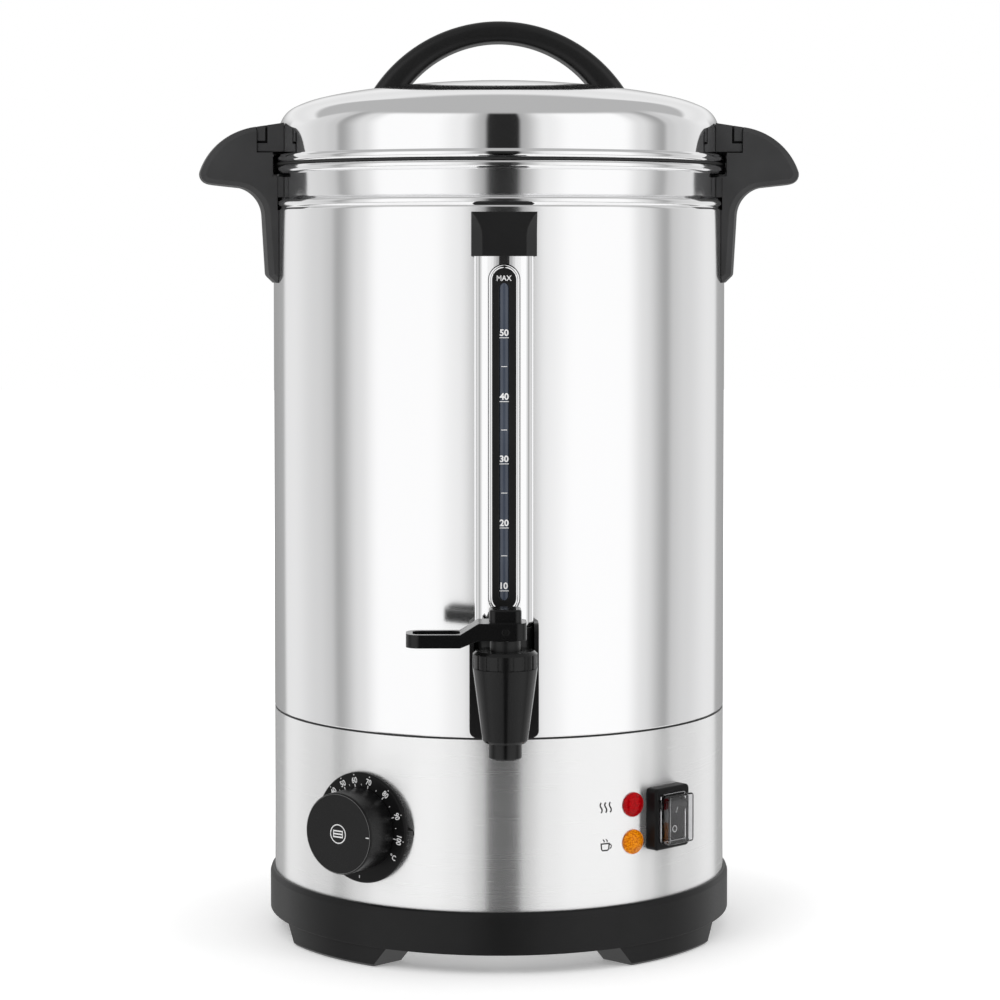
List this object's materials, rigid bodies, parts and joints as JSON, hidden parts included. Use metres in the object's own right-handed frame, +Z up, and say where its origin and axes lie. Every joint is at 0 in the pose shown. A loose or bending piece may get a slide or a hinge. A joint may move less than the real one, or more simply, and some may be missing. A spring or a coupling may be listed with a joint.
{
  "type": "hot water urn",
  "caption": "Upright steel hot water urn with a twist lid, side handles, sight gauge, lever tap, thermostat knob, signal lamps and rocker switch on a plastic base.",
  "frame": {"origin": "on the floor, under the middle of the whole urn with its tap and gland", "axes": "+Z up along the tank, -Y towards the tap, +X to the right as seen from the tap's side"},
  "size_m": [0.3184, 0.3066, 0.4811],
  "materials": {
    "polished_steel": "polished stainless steel",
    "brushed_skirt": "brushed around the axis",
    "black_plastic": "satin moulded",
    "zinc_steel": "zinc plated",
    "aluminium_plate": "as cast",
    "copper": "drawn copper",
    "brass_blades": "stamped",
    "silicone": "soft silicone",
    "clear_tube": "clear",
    "clear_cover": "clear flexible plastic",
    "red_lens": "translucent moulded",
    "amber_lens": "translucent moulded",
    "light_plastic": "moulded",
    "red_plastic": "moulded",
    "lead_brown": "insulation",
    "lead_blue": "insulation"
  },
  "bodies": {
    "root": {"amber_lens": "amber_lens", "base_ring": "black_plastic", "base_screws": "zinc_steel", "bottom_plate": "zinc_steel", "capillary_tube": "copper", "clamp_stud": "zinc_steel", "cord_gland": "black_plastic", "dial_plate": "black_plastic", "element_clamp": "zinc_steel", "gauge_cap": "black_plastic", "gauge_guard": "polished_steel", "gland_nut": "black_plastic", "handle_left": "black_plastic", "handle_right": "black_plastic", "heater_lead": "lead_brown", "heating_element": "zinc_steel", "heating_plate": "aluminium_plate", "lamp_bodies": "light_plastic", "live_lead": "lead_brown", "lower_shell": "brushed_skirt", "mount_gasket": "silicone", "neutral_lead": "lead_blue", "red_lens": "red_lens", "reset_housing": "black_plastic", "scale_strip": "black_plastic", "sensor_bulb": "copper", "shaft_nut": "zinc_steel", "shank_nut": "zinc_steel", "sight_tube": "clear_tube", "switch_blades": "brass_blades", "switch_cover": "clear_cover", "switch_housing": "black_plastic", "switched_lead": "lead_brown", "tank": "polished_steel", "tank_screws": "zinc_steel", "tap_body": "black_plastic", "tap_collar": "black_plastic", "tap_mount": "black_plastic", "terminal_block": "light_plastic", "thermal_cutout": "light_plastic", "thermostat_body": "light_plastic", "tube_seals": "silicone", "warming_element": "zinc_steel"},
    "gasket": {"lid_seal": "silicone"},
    "lid": {"lid_shell": "polished_steel", "lid_handle": "black_plastic", "lid_handle_screws": "zinc_steel", "lid_lug_left": "black_plastic", "lid_lug_right": "black_plastic", "lug_rivets": "zinc_steel"},
    "tap_swivel": {"stem_guide": "black_plastic", "valve_spring": "zinc_steel"},
    "stem": {"valve_stem": "zinc_steel", "seat_cup": "silicone"},
    "lever": {"tap_lever": "black_plastic", "lever_pin": "zinc_steel"},
    "knob": {"knob": "black_plastic", "thermostat_shaft": "zinc_steel"},
    "rocker": {"rocker": "black_plastic"},
    "reset": {"reset_button": "red_plastic"}
  },
  "joints": [
    {"name": "lid_turn", "type": "hinge", "parent": "root", "child": "gasket", "pos_m": [0, 0.01735, 0.405], "axis": [0, 0, 1], "range_deg": [0, 40]},
    {"name": "lid_lift", "type": "slide", "parent": "gasket", "child": "lid", "axis": [0, 0, 1], "range_m": [0, 0.12]},
    {"name": "tap_swivel_turn", "type": "hinge", "parent": "root", "child": "tap_swivel", "pos_m": [0, -0.13765, 0.17], "axis": [0, 0, 1], "range_deg": [0, 180]},
    {"name": "stem_lift", "type": "slide", "parent": "tap_swivel", "child": "stem", "axis": [0, 0, 1], "range_m": [0, 0.003], "deforming": ["valve_spring"]},
    {"name": "lever_tilt", "type": "hinge", "parent": "stem", "child": "lever", "pos_m": [0, -0.13765, 0.1768], "axis": [0, 1, 0], "range_deg": [-20, 0], "stiffness_Nm_per_rad": 0.5, "springref_deg": 17.19},
    {"name": "knob_turn", "type": "hinge", "parent": "root", "child": "knob", "pos_m": [-0.07665, -0.09011, 0.0699], "axis": [-0.5807, -0.8141, 0], "range_deg": [0, 250]},
    {"name": "rocker_tilt", "type": "hinge", "parent": "root", "child": "rocker", "pos_m": [0.08302, -0.07136, 0.073], "axis": [0.7302, 0.6833, 0], "range_deg": [-16, 0]},
    {"name": "reset_push", "type": "slide", "parent": "root", "child": "reset", "axis": [0, 0, 1], "range_m": [0, 0.002], "stiffness_N_per_m": 200, "springref_m": -0.01}
  ],
  "couplings": [
    {"joint": "stem_lift", "follows": "lever_tilt", "m_per_rad": -0.00855}
  ]
}
